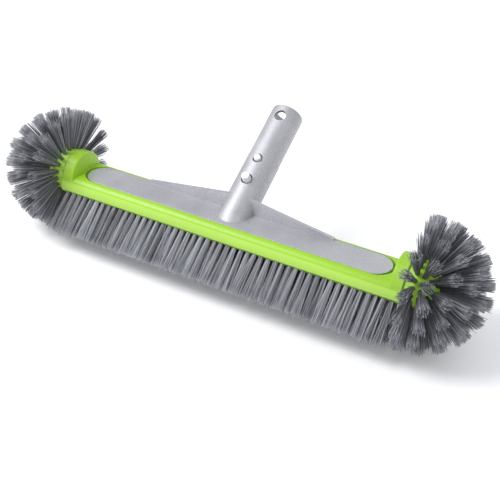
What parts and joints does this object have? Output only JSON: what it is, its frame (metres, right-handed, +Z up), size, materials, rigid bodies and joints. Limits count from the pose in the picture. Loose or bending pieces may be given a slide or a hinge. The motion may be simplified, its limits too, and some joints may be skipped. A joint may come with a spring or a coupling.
{
  "type": "pool wall brush",
  "caption": "Pool wall brush: moulded bar with rows of bristle tufts, round bristled end caps and a cast aluminium back whose leaning tube slides into a telescopic pole.",
  "frame": {"origin": "on the surface that the lowest bristle tips rest on, below the centre of the bounding box", "axes": "+X along the bar, +Z up away from the bristles, +Y towards the side that the tube leans to"},
  "size_m": [0.4444, 0.1618, 0.1265],
  "materials": {
    "green_plastic": "satin moulded polypropylene",
    "cast_aluminium": "satin die-cast and tumbled",
    "bristle": "grey nylon filament",
    "clip_plastic": "white acetal",
    "steel": "stainless, plain",
    "staple_wire": "flattened wire"
  },
  "bodies": {
    "brush": {"brush_body": "green_plastic", "left_end_cap": "green_plastic", "right_end_cap": "green_plastic", "back_casting": "cast_aluminium", "back_screws": "steel", "clip_bow": "clip_plastic", "bar_tuft_row_1": "bristle", "bar_tuft_row_2": "bristle", "bar_tuft_row_3": "bristle", "bar_tuft_row_4": "bristle", "bar_tuft_row_5": "bristle", "bar_tuft_row_6": "bristle", "bar_tuft_row_7": "bristle", "left_end_ring_1": "bristle", "left_end_ring_2": "bristle", "left_end_ring_3": "bristle", "left_end_ring_4": "bristle", "left_end_ring_5": "bristle", "left_end_ring_6": "bristle", "right_end_ring_1": "bristle", "right_end_ring_2": "bristle", "right_end_ring_3": "bristle", "right_end_ring_4": "bristle", "right_end_ring_5": "bristle", "right_end_ring_6": "bristle", "bar_staple_row_1": "staple_wire", "bar_staple_row_2": "staple_wire", "bar_staple_row_3": "staple_wire", "bar_staple_row_4": "staple_wire", "bar_staple_row_5": "staple_wire", "bar_staple_row_6": "staple_wire", "bar_staple_row_7": "staple_wire", "left_end_staples": "staple_wire", "right_end_staples": "staple_wire"},
    "front_arm": {"clip_front_arm": "clip_plastic"},
    "rear_arm": {"clip_rear_arm": "clip_plastic"}
  },
  "joints": [
    {"name": "front_arm_squeeze", "type": "hinge", "parent": "brush", "child": "front_arm", "pos_m": [0, 0.04153, 0.10477], "axis": [1, 0, 0], "range_deg": [0, 5.8], "stiffness_Nm_per_rad": 4, "springref_deg": -2.01},
    {"name": "rear_arm_squeeze", "type": "hinge", "parent": "brush", "child": "rear_arm", "pos_m": [0, 0.05075, 0.09025], "axis": [-1, 0, 0], "range_deg": [0, 5.8], "stiffness_Nm_per_rad": 4, "springref_deg": -2.01}
  ]
}
